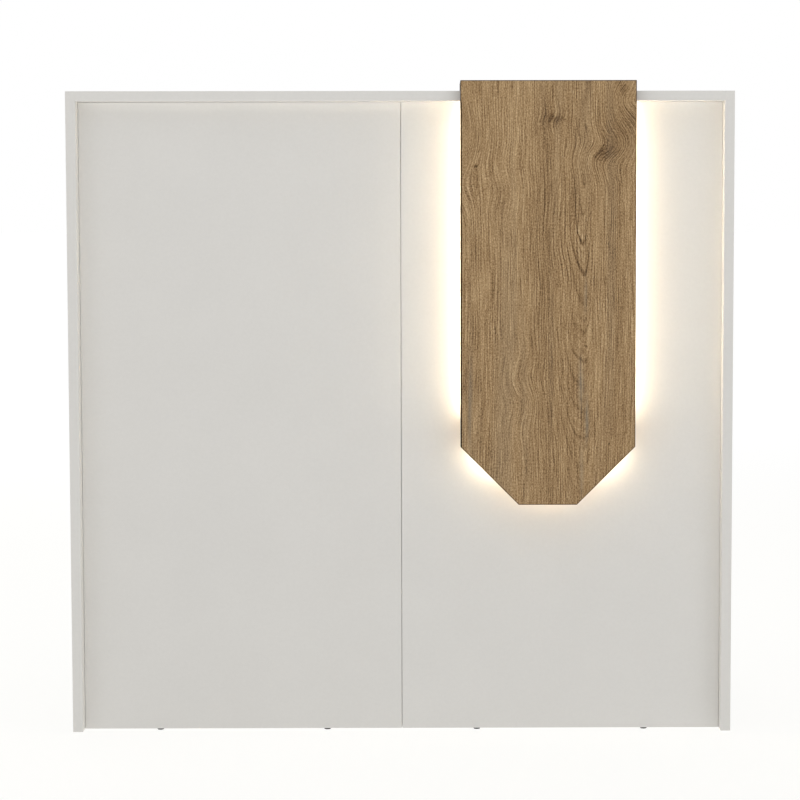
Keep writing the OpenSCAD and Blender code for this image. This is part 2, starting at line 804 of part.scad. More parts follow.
// Two under each front panel, two under each side and the partition, and one under the plinth rail
glide_spots = concat(
    [for (side = [-1, 1], dx = [-glide_dx, glide_dx]) [side * (panel_mid + dx), panel_y + half_t]],
    [for (x = upright_x, y = upright_y) [x, y]],
    [[drawer_x, back_y - plinth_back - half_t]]);
module glides() {
    color(DARK) for (spot = glide_spots) {
        rod_z([spot[0], spot[1], 0], glide_d / 2, glide_h);
        rod_z([spot[0], spot[1], glide_h - eps], nail_r, nail_l + eps);
    }
}

module assembly_screws() {
    color(STEEL) for (side = [-1, 1], spot = screw_spots(side)) screw(side, spot, 0);
}
module cover_caps() {
    color(WHITE) for (side = [-1, 1], spot = screw_spots(side)) mirror([side < 0 ? 1 : 0, 0, 0])
        rod_x([half_w - cap_l, spot[0], spot[1]], cap_r, cap_l);
}

side_panel_left();
side_panel_right();
ledge_top();
front_panel_left();
front_panel_right();
worktop();
centre_partition();
hutch_divider();
hutch_shelf_left();
hutch_shelf_right();
shelf_pins();
pedestal_floor();
pedestal_deck();
plinth_rail();
cupboard_shelf();
oak_front_panel();
oak_top_slab();
batten_left();
batten_right();
battens_lower();
led_channels();
led_diffusers();
led_tapes();
led_lead();
lead_clips();
led_controller();
led_button();
upper_drawer_front();
upper_drawer_box();
upper_drawer_bottom();
upper_drawer_handle();
lower_drawer_front();
lower_drawer_box();
lower_drawer_bottom();
lower_drawer_handle();
upper_runner_outer();
upper_runner_middle();
upper_runner_inner();
lower_runner_outer();
lower_runner_middle();
lower_runner_inner();
tray_runner_outer();
tray_runner_inner();
keyboard_tray();
cupboard_door();
door_handle();
door_pivot_pins();
pivot_bushes();
door_magnet();
door_strike_plate();
lock_cylinder();
lock_cam();
lock_key();
lock_strike();
grommet_ring();
grommet_cap();
glides();
assembly_screws();
cover_caps();
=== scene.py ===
"""Looks of the checkout counter: materials, fine small pieces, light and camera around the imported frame."""
import bpy
import math
from mathutils import Matrix, Vector


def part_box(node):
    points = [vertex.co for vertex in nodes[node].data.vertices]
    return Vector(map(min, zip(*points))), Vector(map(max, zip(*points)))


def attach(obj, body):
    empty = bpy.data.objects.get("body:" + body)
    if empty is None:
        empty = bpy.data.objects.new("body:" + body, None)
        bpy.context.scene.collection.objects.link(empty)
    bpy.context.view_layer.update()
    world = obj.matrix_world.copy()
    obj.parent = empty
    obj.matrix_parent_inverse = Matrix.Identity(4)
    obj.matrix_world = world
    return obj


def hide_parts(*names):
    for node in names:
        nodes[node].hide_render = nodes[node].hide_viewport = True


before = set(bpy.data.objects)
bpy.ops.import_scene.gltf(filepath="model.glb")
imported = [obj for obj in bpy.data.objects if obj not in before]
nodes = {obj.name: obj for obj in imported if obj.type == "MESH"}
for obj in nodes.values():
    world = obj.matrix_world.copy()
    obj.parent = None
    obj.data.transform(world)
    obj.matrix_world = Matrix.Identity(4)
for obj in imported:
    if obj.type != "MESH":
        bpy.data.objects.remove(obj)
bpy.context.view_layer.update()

# ---- Places taken from the frame, in metres ----
oak_low, oak_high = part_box("oak_front_panel")
side_low, side_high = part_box("side_panel_left")
OAK_X = (oak_low.x + oak_high.x) / 2
OAK_HALF = (oak_high.x - oak_low.x) / 2
BOARD = side_high.x - side_low.x
# Leg of the facing's cut corners
CORNER = 0.105
# Height of the ledge's underside
LEDGE_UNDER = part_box("ledge_top")[0].z

# ---- Camera: a long lens in front of the counter, at waist height ----
LENS_MM = 107.94
SENSOR_MM = 36
EYE_X = 0.06
EYE_AHEAD = 4.3246
EYE_HEIGHT = 0.9323
PITCH_DOWN = 4.2637
YAW = 0.2996
ROLL = -0.0731
SHIFT_X = -0.0584
CLIP_END = 200

# ---- Surroundings: what the camera sees of the sky, what lights the object, and the floor's own glow ----
SKY_WHITE = 1.0
SKY_LIGHT = 0.16
FLOOR_REACH = 300.0
FLOOR_GLOW = 0.8
FLOOR_GLOW_FAR = 1.0
FLOOR_GLOW_BLUE = 0.985
# Distances from the counter between which the floor fades into the white of the sky
FLOOR_FADE = (2.0, 7.0)
FLOOR_TONES = ("#8f8e8c", "#8b8a88")

# ---- Soft boxes: name, place, point it faces, width and height, watts, colour ----
WARM_WHITE = (1.0, 0.99, 0.97)
COOL_WHITE = (0.98, 0.99, 1.0)
PLAIN_WHITE = (1.0, 1.0, 1.0)
COUNTER_MIDDLE = (0, 0, 0.7)
SOFT_BOXES = (
    ("front_soft_box", (0.6, -7.0, 2.2), COUNTER_MIDDLE, (5.0, 3.6), 10, WARM_WHITE),
    ("left_soft_box", (-5.0, -4.5, 1.4), COUNTER_MIDDLE, (2.6, 3.0), 18, WARM_WHITE),
    ("right_soft_box", (5.0, -4.5, 1.4), COUNTER_MIDDLE, (2.6, 3.0), 30, WARM_WHITE),
    ("rear_soft_box", (-1.2, 7.0, 2.4), COUNTER_MIDDLE, (5.0, 3.6), 60, COOL_WHITE),
    ("top_soft_box", (0, 0, 5.0), (0, 0.01, 0), (11.0, 11.0), 294, PLAIN_WHITE),
)

# ---- The counter's own light strips ----
GLOW_COLOUR = (1.0, 0.86, 0.635, 1.0)
GLOW_BETWEEN_DIODES = (0.9, 0.72, 0.5, 1.0)
GLOW_STRENGTH = 19.0
# The short strip at the foot is the last on the chain and glows weaker. Its top, above the facing's foot, and
# the height over which the glow changes to the other strips'
FOOT_GLOW = 0.86
FOOT_STRIP_TOP = 0.062
STRIP_STEP = 0.004
DIODE_PITCH = 1 / 60


def tone(code):
    """A colour written as #rrggbb, as the linear values that a shader takes."""
    parts = [int(code[k:k + 2], 16) / 255 for k in (1, 3, 5)]
    return tuple(c / 12.92 if c <= 0.04045 else ((c + 0.055) / 1.055) ** 2.4 for c in parts) + (1.0,)


class Paint:
    """A material, with short calls that add nodes. A value is a number, a colour or another node's socket."""

    def __init__(self, name):
        self.material = bpy.data.materials.new(name)
        self.material.use_nodes = True
        self.tree = self.material.node_tree
        self.shader = self.tree.nodes["Principled BSDF"]
        self.place = self.node("ShaderNodeTexCoord").outputs["Object"]

    def node(self, kind, **settings):
        made = self.tree.nodes.new(kind)
        for name, value in settings.items():
            setattr(made, name, value)
        return made

    def feed(self, socket, value):
        if isinstance(value, bpy.types.NodeSocket):
            self.tree.links.new(value, socket)
        elif value is not None:
            socket.default_value = value

    def math(self, operation, a, b=None):
        made = self.node("ShaderNodeMath", operation=operation)
        for socket, value in zip(made.inputs, (a, b)):
            self.feed(socket, value)
        return made.outputs[0]

    def add(self, a, b):
        return self.math("ADD", a, b)

    def sub(self, a, b):
        return self.math("SUBTRACT", a, b)

    def mul(self, a, b):
        return self.math("MULTIPLY", a, b)

    def axes(self):
        made = self.node("ShaderNodeSeparateXYZ")
        self.feed(made.inputs[0], self.place)
        return made.outputs[0], made.outputs[1], made.outputs[2]

    def join(self, x, y, z):
        made = self.node("ShaderNodeCombineXYZ")
        for socket, value in zip(made.inputs, (x, y, z)):
            self.feed(socket, value)
        return made.outputs[0]

    def stretch(self, x, y, z):
        made = self.node("ShaderNodeVectorMath", operation="MULTIPLY")
        self.feed(made.inputs[0], self.place)
        made.inputs[1].default_value = (x, y, z)
        return made.outputs[0]

    def noise(self, place, scale, detail=2.0, roughness=0.5, distortion=0.0):
        made = self.node("ShaderNodeTexNoise")
        self.feed(made.inputs["Vector"], place)
        made.inputs["Scale"].default_value = scale
        made.inputs["Detail"].default_value = detail
        made.inputs["Roughness"].default_value = roughness
        made.inputs["Distortion"].default_value = distortion
        return made.outputs[0]

    def cells(self, place, scale, feature="F1", output="Distance"):
        made = self.node("ShaderNodeTexVoronoi", feature=feature)
        self.feed(made.inputs["Vector"], place)
        made.inputs["Scale"].default_value = scale
        return made.outputs[output]

    def fit(self, value, low, high, to_low=0.0, to_high=1.0, smooth=False):
        kind = "SMOOTHSTEP" if smooth else "LINEAR"
        made = self.node("ShaderNodeMapRange", interpolation_type=kind)
        for socket, number in zip(made.inputs, (value, low, high, to_low, to_high)):
            self.feed(socket, number)
        return made.outputs[0]

    def ramp(self, value, *stops):
        made = self.node("ShaderNodeValToRGB")
        band = made.color_ramp
        while len(band.elements) < len(stops):
            band.elements.new(0.5)
        for element, (at, colour) in zip(band.elements, stops):
            element.position = at
            element.color = colour
        self.feed(made.inputs[0], value)
        return made.outputs[0]

    def mix(self, amount, a, b):
        made = self.node("ShaderNodeMix", data_type="RGBA", blend_type="MIX")
        for name, value in (("Factor_Float", amount), ("A_Color", a), ("B_Color", b)):
            socket = next(s for s in made.inputs if s.identifier == name)
            self.feed(socket, value)
        return next(s for s in made.outputs if s.identifier == "Result_Color")

    def bump(self, height, distance, strength=1.0):
        made = self.node("ShaderNodeBump")
        made.inputs["Strength"].default_value = strength
        made.inputs["Distance"].default_value = distance
        self.feed(made.inputs["Height"], height)
        return made.outputs[0]

    def finish(self, **values):
        names = {"colour": "Base Color", "rough": "Roughness", "metal": "Metallic", "normal": "Normal",
                 "specular": "Specular IOR Level", "glow": "Emission Color",
                 "glow_strength": "Emission Strength"}
        for name, value in values.items():
            self.feed(self.shader.inputs[names[name]], value)
        return self.material


def white_laminate():
    """Melamine-faced board: off-white, with a fine pearl texture, faint mottling and handling marks."""
    p = Paint("white_laminate_board")
    pearl = p.noise(p.place, 1400, 2, 0.55)
    cloud = p.noise(p.place, 7, 3, 0.6)
    fleck = p.cells(p.place, 520)
    speck = p.fit(fleck, 0.02, 0.1, 0.0, 1.0, smooth=True)
    mottle = p.noise(p.place, 160, 4, 0.7)
    shade = p.add(p.mul(cloud, 0.45), p.mul(mottle, 0.55))
    base = p.ramp(shade, (0.34, tone("#e9e7e3")), (0.66, tone("#edebe7")))
    colour = p.mix(p.fit(speck, 0, 1, 0.06, 0.0), base, tone("#d6d3cc"))
    wipe = p.noise(p.stretch(3, 3, 0.6), 9, 4, 0.65, 0.6)
    rough = p.add(p.fit(wipe, 0.3, 0.7, 0.4, 0.48), p.fit(pearl, 0.3, 0.7, -0.03, 0.03))
    normal = p.bump(pearl, 0.00003, 0.6)
    return p.finish(colour=colour, rough=rough, normal=normal, specular=0.4)


# Places on the oak facing are measured across from its centre and up from the floor.
# Knots: place, size across and along, how far the grain turns round them in radians, how dark they are
KNOTS = (
    (0.009, 1.115, 0.014, 0.008, 0.4, 0.34),
    (-0.129, 1.031, 0.003, 0.0022, 0.5, 0.55),
    (0.068, 0.707, 0.0035, 0.0025, 0.5, 0.6),
    (0.111, 0.530, 0.002, 0.0018, 0.4, 0.45),
    (0.100, 1.052, 0.022, 0.013, 0.8, 0.2),
    (0.150, 1.115, 0.018, 0.022, -0.7, 0.2),
    (0.134, 1.166, 0.008, 0.012, 0.7, 0.26),
    (-0.168, 1.050, 0.017, 0.030, 0.8, 0.0),
)
# Stretches where the grain sways: place, size across and along, waves per metre, width of the sway
SWAYS = (
    (-0.050, 0.626, 0.036, 0.070, 8.5, 0.0085),
    (-0.080, 1.010, 0.040, 0.060, 8.0, 0.0060),
    (0.020, 0.860, 0.050, 0.120, 5.0, 0.0040),
)
# Broad paler and darker parts of the board: place, size across and along, how much paler
SHADES = (
    (-0.054, 0.830, 0.024, 0.900, 0.085),
    (-0.001, 0.830, 0.017, 0.900, -0.105),
    (0.042, 0.900, 0.022, 0.500, -0.03),
    (0.108, 1.080, 0.030, 0.055, -0.12),
    (-0.142, 0.660, 0.010, 0.110, -0.07),
)
# Grey streaks: place, size across and along, how grey
GREY_STREAKS = (
    (0.060, 0.640, 0.004, 0.040, 0.8),
    (0.069, 0.575, 0.003, 0.040, 0.8),
    (0.062, 0.480, 0.003, 0.045, 0.6),
    (-0.140, 0.600, 0.004, 0.070, 0.6),
    (0.066, 0.800, 0.003, 0.030, 0.5),
)
# Centre of the rings, how much longer than wide they are, and how far apart rings and pale fibres lie
EYE_PLACE = (0.064, 1.049)
EYE_SLENDER = 8.0
RING_PITCH = 0.0064
FIBRE_PITCH = 0.0046
# Middle of the board's tone before any grain, and how widely each layer of the figure swings it
BASE_TONE = 0.585
COMB_GAIN = 0.13
LATE_GAIN = 0.42
FINE_GAIN = 0.13
PORE_GAIN = 0.26
# The figure's tones from dark to pale, and those of grey streaks, of the joint and of the painted shade along
# the left edge
OAK_TONES = ((0.0, "#4f3a24"), (0.2, "#745839"), (0.42, "#9a7b55"), (0.6, "#b19269"), (0.8, "#c8a97f"),
             (1.0, "#dfc49b"))
GREY_TONE = "#8d8575"
JOINT_TONE = "#402e1d"
EDGE_SHADE_TONE = "#20150c"
# Where the joint round the outline and the painted shade along the left edge begin and end to fade, and their
# strength
JOINT_WIDTH = (0.0011, 0.0019)
JOINT_AMOUNT = 0.8
EDGE_SHADE_WIDTH = (0.0023, 0.0028)
EDGE_SHADE_DEPTH = (0.0007, 0.0012)
EDGE_SHADE_FADE = 0.004
EDGE_SHADE_AMOUNT = 0.95


def oak_decor():
    """Oak-grain laminate: rings round one eye, fibres, pores, knots and grey streaks along the grain."""
    p = Paint("oak_decor_board")
    x, y, z = p.axes()
    # Depth below the outer skin, so that the grain wraps round the edges and over the mitre onto the slab
    behind = p.sub(y, oak_low.y)
    under = p.sub(oak_high.z, z)
    depth = p.math("MINIMUM", behind, under)
    across = p.add(p.sub(x, OAK_X), depth)
    along = p.add(z, behind)

    def grain(per_x, per_z, detail, roughness, seed, from_x=across, from_z=along):
        place = p.join(p.mul(from_x, per_x), seed, p.mul(from_z, per_z))
        return p.noise(place, 1.0, detail, roughness)

    def window(from_x, from_z, at_x, at_z, size_x, size_z):
        """1 at a place on the face, fading to 0 over an ellipse, with the offsets from the place."""
        dx = p.sub(from_x, at_x)
        dz = p.sub(from_z, at_z)
        near_x = p.mul(dx, 1 / size_x)
        near_z = p.mul(dz, 1 / size_z)
        square = p.add(p.mul(near_x, near_x), p.mul(near_z, near_z))
        return p.math("EXPONENT", p.mul(square, -1.0)), dx, dz

    # Slow wander of the grain, and a ragged copy of the place for the outlines of knots
    line_x = p.add(across, p.fit(grain(8, 1.7, 2, 0.5, 3.0), 0, 1, -0.012, 0.012))
    line_x = p.add(line_x, p.fit(grain(45, 9, 3, 0.6, 7.0), 0, 1, -0.0032, 0.0032))
    line_z = along
    ragged_x = p.add(across, p.fit(grain(110, 90, 3, 0.6, 21.0), 0, 1, -0.008, 0.008))
    ragged_z = p.add(along, p.fit(grain(110, 90, 3, 0.6, 23.0), 0, 1, -0.008, 0.008))
    for at_x, at_z, size_x, size_z, waves, width in SWAYS:
        near, _, dz = window(across, along, at_x, at_z, size_x, size_z)
        sway = p.math("SINE", p.mul(dz, 2 * math.pi * waves))
        line_x = p.add(line_x, p.mul(p.mul(near, sway), width))
    dark = 0.0
    for at_x, at_z, size_x, size_z, turn, shade in KNOTS:
        near, dx, dz = window(across, along, at_x, at_z, size_x * 2.2, size_z * 2.2)
        angle = p.mul(near, turn)
        sine = p.math("SINE", angle)
        cosine = p.sub(1.0, p.math("COSINE", angle))
        line_x = p.sub(line_x, p.add(p.mul(dx, cosine), p.mul(dz, sine)))
        line_z = p.add(line_z, p.sub(p.mul(dx, sine), p.mul(dz, cosine)))
        core, _, _ = window(ragged_x, ragged_z, at_x, at_z, size_x, size_z)
        dark = p.add(dark, p.mul(core, shade))

    # Rings: nested long ellipses round the eye, tighter on its right, straight lines far from it
    ring_x = p.sub(line_x, EYE_PLACE[0])
    ring_x = p.add(ring_x, p.mul(p.math("MAXIMUM", ring_x, 0.0), 0.7))
    ring_z = p.mul(p.sub(line_z, EYE_PLACE[1]), 1 / EYE_SLENDER)
    radius = p.math("SQRT", p.add(p.mul(ring_x, ring_x), p.mul(ring_z, ring_z)))
    drift = p.fit(grain(12, 1.2, 2, 0.6, 11.0), 0, 1, -1.0, 1.0)
    turns = p.add(p.mul(radius, 1 / RING_PITCH), drift)

    def lines(count, sharp):
        part = p.math("FRACT", p.mul(turns, count))
        return p.fit(p.math("ABSOLUTE", p.sub(part, 0.5)), sharp, 0.5, 0.0, 1.0, smooth=True)

    thick = p.fit(grain(30, 5, 2, 0.5, 31.0), 0.35, 0.65, 0.35, 1.0)
    beside_eye, _, _ = window(across, along, EYE_PLACE[0], EYE_PLACE[1] - 0.1, 0.09, 0.3)
    thick = p.mul(thick, p.fit(beside_eye, 0.0, 1.0, 0.25, 1.0))
    late = p.mul(lines(1.0, 0.34), thick)
    fine = p.mul(lines(2.7, 0.2), p.fit(grain(40, 6, 2, 0.5, 33.0), 0.35, 0.65, 0.2, 1.0))

    column = grain(26, 0.8, 2, 0.55, 5.0)
    broad = grain(7, 1.1, 2, 0.5, 9.0)
    hair = grain(360, 13, 4, 0.72, 2.0, line_x, line_z)
    streak = grain(120, 7, 3, 0.6, 4.0, line_x, line_z)
    crumb = grain(520, 300, 2, 0.6, 15.0, line_x, line_z)
    # Pale fibres side by side, a few millimetres apart, that fade in and out
    wander = p.fit(grain(60, 10, 2, 0.5, 41.0), 0.2, 0.8, -0.7, 0.7)
    comb = p.math("SINE", p.mul(p.add(p.mul(line_x, 1 / FIBRE_PITCH), wander), 2 * math.pi))
    comb = p.mul(comb, p.fit(grain(35, 6, 2, 0.5, 43.0), 0.35, 0.65, 0.1, 1.0))
    cell_place = p.join(p.mul(line_x, 620), 0.0, p.mul(line_z, 95))
    pore = p.fit(p.cells(cell_place, 1.0), 0.1, 0.42, 1.0, 0.0, smooth=True)
    pore = p.mul(pore, p.fit(grain(60, 7, 2, 0.5, 6.0), 0.4, 0.62, 0.2, 1.0))

    light = BASE_TONE
    for value, gain in ((column, 0.1), (broad, 0.05), (streak, 0.12), (hair, 0.58), (crumb, 0.5)):
        light = p.add(light, p.fit(value, 0.3, 0.7, -gain / 2, gain / 2))
    light = p.add(light, p.mul(comb, COMB_GAIN))
    light = p.sub(light, p.mul(late, LATE_GAIN))
    light = p.sub(light, p.mul(fine, FINE_GAIN))
    light = p.sub(light, p.mul(pore, PORE_GAIN))
    light = p.sub(light, p.mul(dark, p.fit(hair, 0.3, 0.7, 1.3, 0.6)))
    for at_x, at_z, size_x, size_z, amount in SHADES:
        near, _, _ = window(line_x, along, at_x, at_z, size_x, size_z)
        light = p.add(light, p.mul(near, amount))
    pale, _, _ = window(ragged_x, ragged_z, EYE_PLACE[0] + 0.006, EYE_PLACE[1], 0.014, 0.022)
    light = p.add(light, p.mul(pale, 0.1))
    colour = p.ramp(light, *((at, tone(code)) for at, code in OAK_TONES))
    # Grey-blue streaks, and a slow drift between a warmer and a greyer brown
    grey = p.fit(grain(20, 1.1, 2, 0.5, 13.0), 0.5, 0.75, 0.0, 0.3)
    for at_x, at_z, size_x, size_z, amount in GREY_STREAKS:
        near, _, _ = window(line_x, along, at_x, at_z, size_x, size_z)
        grey = p.add(grey, p.mul(near, amount))
    grey = p.mul(grey, p.fit(hair, 0.3, 0.7, 1.0, 0.3))
    colour = p.mix(p.math("MINIMUM", grey, 0.8), colour, tone(GREY_TONE))
    # Edge banding: a thin darker joint along the outline, and the mitre along the top front edge
    off_side = p.sub(OAK_HALF, p.math("ABSOLUTE", p.sub(x, OAK_X)))
    off_foot = p.sub(z, oak_low.z)
    off_cut = p.mul(p.sub(p.add(off_side, off_foot), CORNER), 1 / math.sqrt(2))
    off_fold = p.math("MAXIMUM", behind, under)
    off_edge = p.math("MINIMUM", p.math("MINIMUM", off_foot, off_cut), p.math("MINIMUM", off_fold, off_side))
    joint = p.fit(off_edge, *JOINT_WIDTH, JOINT_AMOUNT, 0.0, smooth=True)
    colour = p.mix(joint, colour, tone(JOINT_TONE))
    # Painted shade: a nearly black line along the facing's left edge, below the ledge only, standing for the
    # board's side face in shadow
    left_edge_shade = p.fit(p.sub(x, oak_low.x), *EDGE_SHADE_WIDTH, EDGE_SHADE_AMOUNT, 0.0, smooth=True)
    left_edge_shade = p.mul(left_edge_shade, p.fit(behind, *EDGE_SHADE_DEPTH, 1.0, 0.0))
    left_edge_shade = p.mul(left_edge_shade, p.fit(z, LEDGE_UNDER - EDGE_SHADE_FADE, LEDGE_UNDER, 1.0, 0.0))
    colour = p.mix(left_edge_shade, colour, tone(EDGE_SHADE_TONE))
    relief = p.sub(p.mul(hair, 0.5), p.add(pore, p.mul(late, 0.4)))
    rough = p.add(p.fit(streak, 0.3, 0.7, 0.48, 0.58), p.mul(pore, 0.12))
    normal = p.bump(relief, 0.00015, 0.8)
    return p.finish(colour=colour, rough=rough, normal=normal, specular=0.25)


def pine(name, along):
    """Planed pine with straight rings along one direction, for the hidden spacers."""
    p = Paint(name)
    x, y, z = p.axes()
    run = {"z": z, "x": x}[along]
    cross = {"z": x, "x": z}[along]
    place = p.join(p.mul(cross, 70), p.mul(y, 70), p.mul(run, 2.5))
    rings = p.math("FRACT", p.mul(p.noise(place, 0.6, 2, 0.5, 0.3), 14))
    fibre = p.noise(p.join(p.mul(cross, 1500), p.mul(y, 1500), p.mul(run, 25)), 1.0, 2, 0.6)
    light = p.add(p.fit(rings, 0.0, 1.0, 0.75, 0.25), p.fit(fibre, 0.3, 0.7, -0.12, 0.12))
    colour = p.ramp(light, (0.1, tone("#b08a55")), (0.5, tone("#d3b98c")), (0.9, tone("#e2cca4")))
    normal = p.bump(fibre, 0.00008, 0.6)
    return p.finish(colour=colour, rough=p.fit(fibre, 0.3, 0.7, 0.55, 0.68), normal=normal)


# The pressing screen's weave, in radians per metre
SCREEN_WAVES = 3900


def hardboard():
    """White-faced hardboard of a drawer bottom, with a faint weave of the pressing screen."""
    p = Paint("drawer_hardboard")
    x, y, _ = p.axes()
    screen = p.mul(p.math("SINE", p.mul(x, SCREEN_WAVES)), p.math("SINE", p.mul(y, SCREEN_WAVES)))
    cloud = p.noise(p.place, 30, 4, 0.6)
    colour = p.ramp(cloud, (0.3, tone("#cdc9c0")), (0.7, tone("#d4d0c7")))
    normal = p.bump(p.add(p.mul(screen, 0.5), cloud), 0.00004, 0.7)
    return p.finish(colour=colour, rough=p.fit(cloud, 0.3, 0.7, 0.5, 0.62), normal=normal)


def aluminium():
    """Anodised aluminium extrusion, with fine drawing lines and a soft sheen."""
    p = Paint("aluminium_profile")
    lines = p.noise(p.stretch(900, 2600, 12), 1.0, 2, 0.5)
    cloud = p.noise(p.place, 25, 3, 0.5)
    colour = p.ramp(lines, (0.2, tone("#b3b6ba")), (0.8, tone("#cdd0d3")))
    rough = p.add(p.fit(lines, 0.3, 0.7, 0.26, 0.38), p.fit(cloud, 0.3, 0.7, -0.03, 0.03))
    return p.finish(colour=colour, rough=rough, metal=1.0, normal=p.bump(lines, 0.00002, 0.6))


def diffuser():
    """Opal cover of a lighting profile, lit from inside, a little brighter over each diode."""
    p = Paint("opal_diffuser")
    _, _, z = p.axes()
    ripple = p.math("SINE", p.mul(z, 2 * math.pi / DIODE_PITCH))
    grain = p.noise(p.place, 2000, 2, 0.5)
    colour = p.mix(p.fit(grain, 0.3, 0.7, 0.0, 0.3), tone("#f6f2ea"), tone("#ece6da"))
    glow = p.mix(p.fit(ripple, -1, 1, 0.0, 0.06), GLOW_COLOUR, GLOW_BETWEEN_DIODES)
    foot_top = oak_low.z + FOOT_STRIP_TOP
    level = p.fit(z, foot_top, foot_top + STRIP_STEP, GLOW_STRENGTH * FOOT_GLOW, GLOW_STRENGTH)
    return p.finish(colour=colour, rough=0.45, glow=glow, glow_strength=level,
                    normal=p.bump(grain, 0.00002, 0.4))


def led_tape():
    """White flexible circuit tape with copper pads at each cutting line."""
    p = Paint("circuit_tape")
    _, _, z = p.axes()
    step = p.math("FRACT", p.mul(z, 1 / (3 * DIODE_PITCH)))
    pad = p.fit(p.math("ABSOLUTE", p.sub(step, 0.5)), 0.03, 0.05, 1.0, 0.0, smooth=True)
    grain = p.noise(p.place, 900, 2, 0.5)
    lacquer = p.ramp(grain, (0.3, tone("#ded9cd")), (0.7, tone("#ebe7dd")))
    colour = p.mix(pad, lacquer, tone("#c08a4a"))
    return p.finish(colour=colour, rough=p.fit(grain, 0.3, 0.7, 0.35, 0.48),
                    normal=p.bump(p.add(pad, p.mul(grain, 0.3)), 0.00003, 0.7))


def plastic(name, low, high, rough, grain_scale):
    """Moulded plastic: a spark-eroded grain, slight shade changes and worn shine."""
    p = Paint(name)
    spark = p.noise(p.place, grain_scale, 3, 0.65)
    pits = p.cells(p.place, grain_scale * 0.8)
    cloud = p.noise(p.place, 45, 3, 0.6)
    colour = p.ramp(p.add(p.mul(cloud, 0.8), p.mul(spark, 0.2)), (0.3, tone(low)), (0.7, tone(high)))
    height = p.add(spark, p.mul(pits, 0.5))
    shine = p.add(p.fit(cloud, 0.3, 0.7, rough - 0.06, rough + 0.06), p.fit(spark, 0.3, 0.7, -0.03, 0.03))
    return p.finish(colour=colour, rough=shine, normal=p.bump(height, 0.00003, 0.7), specular=0.45)


def zinc_steel():
    """Zinc-plated sheet and screws: cold crystal spangle under rolling lines."""
    p = Paint("zinc_plated_steel")
    spangle = p.cells(p.place, 260, "F1", "Color")
    hue = p.node("ShaderNodeSeparateColor")
    p.feed(hue.inputs[0], spangle)
    tint = hue.outputs[0]
    rolled = p.noise(p.stretch(900, 30, 900), 1.0, 3, 0.6)
    dust = p.noise(p.place, 60, 4, 0.6)
    light = p.add(p.mul(tint, 0.45), p.mul(rolled, 0.55))
    colour = p.ramp(light, (0.15, tone("#8f9499")), (0.55, tone("#b4b8bb")), (0.9, tone("#cccfd1")))
    rough = p.add(p.fit(tint, 0, 1, 0.26, 0.38), p.fit(dust, 0.35, 0.7, 0.0, 0.12))
    return p.finish(colour=colour, rough=rough, metal=1.0, normal=p.bump(rolled, 0.00002, 0.5))


def satin_nickel():
    """Brushed and plated handle, with fine hairlines along the bar and smudges where hands take it."""
    p = Paint("satin_nickel")
    hairs = p.noise(p.stretch(60, 2600, 2600), 1.0, 2, 0.6)
    smudge = p.noise(p.place, 55, 4, 0.6, 0.4)
    colour = p.ramp(hairs, (0.2, tone("#aaa69e")), (0.8, tone("#c4c0b8")))
    rough = p.add(p.fit(hairs, 0.3, 0.7, 0.22, 0.32), p.fit(smudge, 0.4, 0.7, 0.0, 0.12))
    return p.finish(colour=colour, rough=rough, metal=1.0, normal=p.bump(hairs, 0.00002, 0.5))


def polished_chrome():
    """Lock barrel and key: bright plating with fine turned marks and light scratches."""
    p = Paint("polished_chrome")
    turned = p.noise(p.stretch(300, 6000, 300), 1.0, 2, 0.5)
    scratch = p.noise(p.stretch(4000, 200, 900), 1.0, 2, 0.7)
    colour = p.ramp(turned, (0.2, tone("#bcbec1")), (0.8, tone("#d8dadc")))
    rough = p.add(p.fit(scratch, 0.45, 0.75, 0.12, 0.26), p.fit(turned, 0.3, 0.7, -0.02, 0.02))
    return p.finish(colour=colour, rough=rough, metal=1.0, normal=p.bump(turned, 0.00001, 0.5))


materials = {
    "white_laminate": white_laminate(),
    "oak_decor": oak_decor(),
    "pine": pine("pine_spacer", "z"),
    "hardboard": hardboard(),
    "aluminium_profile": aluminium(),
    "led_diffuser": diffuser(),
    "led_tape": led_tape(),
    "white_cable": plastic("white_cable_sheath", "#c9c7c2", "#d6d4cf", 0.42, 900),
    "white_plastic": plastic("white_moulded_plastic", "#c6c4bf", "#d2d0cb", 0.38, 1300),
    "dark_plastic": plastic("dark_moulded_plastic", "#2c2c2b", "#3a3a38", 0.46, 1100),
    "zinc_steel": zinc_steel(),
    "handle_steel": satin_nickel(),
    "lock_chrome": polished_chrome(),
}
for slot_name, material in materials.items():
    material["slot"] = slot_name


def dress():
    """Gives every CAD node its slot's material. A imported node's own material is named after its slot."""
    for item in nodes.values():
        for place in item.material_slots:
            place.material = materials[place.material.name.split(".")[0]]
    nodes["battens_lower"].material_slots[0].material = pine("pine_spacer_lower", "x")


# How a mesh is cleaned before its edges are rounded, and the angles that count as flat, sharp and smooth
WELD_DISTANCE = 0.00001
FLAT_WITHIN = math.radians(0.4)
SHARP_ABOVE = math.radians(35)
SMOOTH_BELOW = math.radians(40)
EDGE_STEPS = 2


def soften(name, width):
    """Rounds a node's sharp edges by a small radius, as edge banding and moulding leave them."""
    item = nodes[name]
    weld = item.modifiers.new("weld", "WELD")
    weld.merge_threshold = WELD_DISTANCE
    flat = item.modifiers.new("flat", "DECIMATE")
    flat.decimate_type = "DISSOLVE"
    flat.angle_limit = FLAT_WITHIN
    edge = item.modifiers.new("edge", "BEVEL")
    edge.width = width
    edge.segments = EDGE_STEPS
    edge.limit_method = "ANGLE"
    edge.angle_limit = SHARP_ABOVE
    edge.use_clamp_overlap = False
    shade = item.modifiers.new("shade", "WEIGHTED_NORMAL")
    shade.keep_sharp = True


